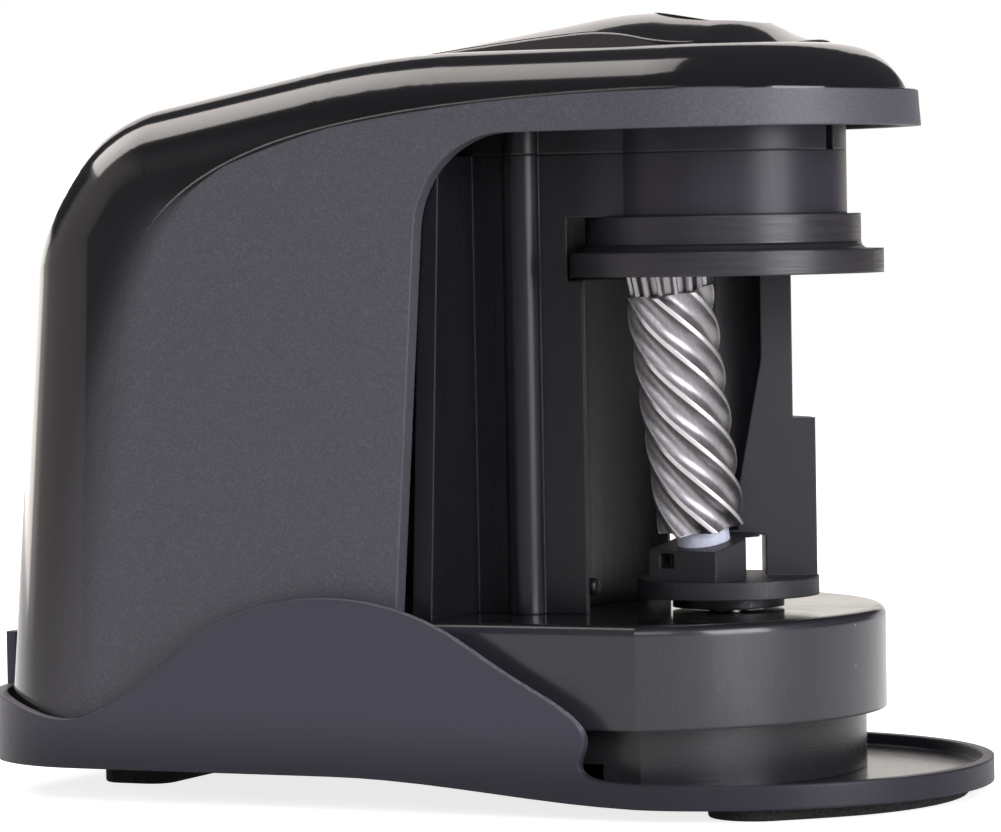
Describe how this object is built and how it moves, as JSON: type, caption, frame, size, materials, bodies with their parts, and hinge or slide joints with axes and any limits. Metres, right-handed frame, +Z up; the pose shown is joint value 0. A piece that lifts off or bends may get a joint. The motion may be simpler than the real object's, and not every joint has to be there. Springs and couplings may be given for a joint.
{
  "type": "electric pencil sharpener",
  "caption": "Electric desk pencil sharpener with a vertical entry, a planetary helical cutter in an open bay, a geared motor drive and a wave-sided base, shown without its shavings bin.",
  "frame": {"origin": "centre of the base's footprint, on the table", "axes": "+X to the front, the side with the tongue, +Z up along the pencil hole"},
  "size_m": [0.1274, 0.0664, 0.098],
  "materials": {
    "matte_shell": "fine matte texture",
    "gloss_black": "polished",
    "base_satin": "satin",
    "inner_black": "moulded",
    "nylon": "natural nylon",
    "carrier_black": "moulded",
    "tool_steel": "ground",
    "steel": "bright",
    "zinc": "zinc plated",
    "bronze": "sintered",
    "brass": "machined",
    "washer_white": "moulded",
    "foam": "foamed",
    "board": "laminate",
    "switch": "moulded"
  },
  "bodies": {
    "chassis": {"base_tray": "base_satin", "main_housing": "matte_shell", "top_panel": "gloss_black", "pencil_guide": "inner_black", "head_frame": "inner_black", "bay_frame": "inner_black", "pencil_switch": "switch", "interlock_switch": "switch", "gearbox_cover": "gloss_black", "gearbox_tub": "inner_black", "deck_bush": "bronze", "floor_bush": "bronze", "idler_axles": "steel", "ring_gear": "carrier_black", "motor_can": "zinc", "motor_end_cap": "switch", "motor_terminals": "brass", "circuit_board": "board", "dc_inlet": "switch", "front_pad": "foam", "rear_pad": "foam", "base_screws": "zinc", "gearbox_screws": "zinc", "motor_screws": "zinc", "frame_screws": "zinc"},
    "carrier": {"carrier_frame": "carrier_black", "carrier_cap": "carrier_black", "carrier_screws": "zinc", "carrier_shaft": "steel", "carrier_gear": "nylon", "cutter_axle": "steel", "cutter_washer": "washer_white"},
    "cutter": {"cutter": "tool_steel", "cutter_pinion": "tool_steel"},
    "second_idler": {"second_idler_gear": "nylon"},
    "first_idler": {"first_idler_gear": "nylon"},
    "motor_rotor": {"motor_shaft": "steel", "motor_armature": "steel", "motor_pinion": "brass"},
    "plunger": {"interlock_plunger": "inner_black"},
    "start_lever": {"pencil_lever": "nylon"}
  },
  "joints": [
    {"name": "motor_spin", "type": "hinge", "parent": "chassis", "child": "motor_rotor", "pos_m": [-0.01935, 0, 0.04], "axis": [0, 0, 1], "continuous": true},
    {"name": "first_idler_spin", "type": "hinge", "parent": "chassis", "child": "first_idler", "pos_m": [-0.00435, 0, 0.015], "axis": [0, 0, 1], "continuous": true},
    {"name": "second_idler_spin", "type": "hinge", "parent": "chassis", "child": "second_idler", "pos_m": [0.01245, 0, 0.013], "axis": [0, 0, 1], "continuous": true},
    {"name": "carrier_spin", "type": "hinge", "parent": "chassis", "child": "carrier", "pos_m": [0.03085, 0, 0.025], "axis": [0, 0, 1], "continuous": true},
    {"name": "cutter_spin", "type": "hinge", "parent": "carrier", "child": "cutter", "pos_m": [0.03085, 0, 0.00736], "axis": [-0.0499, -0.193, 0.9799], "continuous": true},
    {"name": "plunger_slide", "type": "slide", "parent": "chassis", "child": "plunger", "axis": [-1, 0, 0], "range_m": [0, 0.002], "stiffness_N_per_m": 200, "springref_m": -0.001},
    {"name": "lever_pivot", "type": "hinge", "parent": "chassis", "child": "start_lever", "pos_m": [0.02185, 0, 0.0882], "axis": [0, 1, 0], "range_deg": [0, 14], "stiffness_Nm_per_rad": 0.005, "springref_deg": -11.46}
  ],
  "couplings": [
    {"joint": "first_idler_spin", "follows": "motor_spin", "ratio": -0.25},
    {"joint": "second_idler_spin", "follows": "motor_spin", "ratio": 0.083333},
    {"joint": "carrier_spin", "follows": "motor_spin", "ratio": -0.036458},
    {"joint": "cutter_spin", "follows": "motor_spin", "ratio": 0.13125}
  ]
}
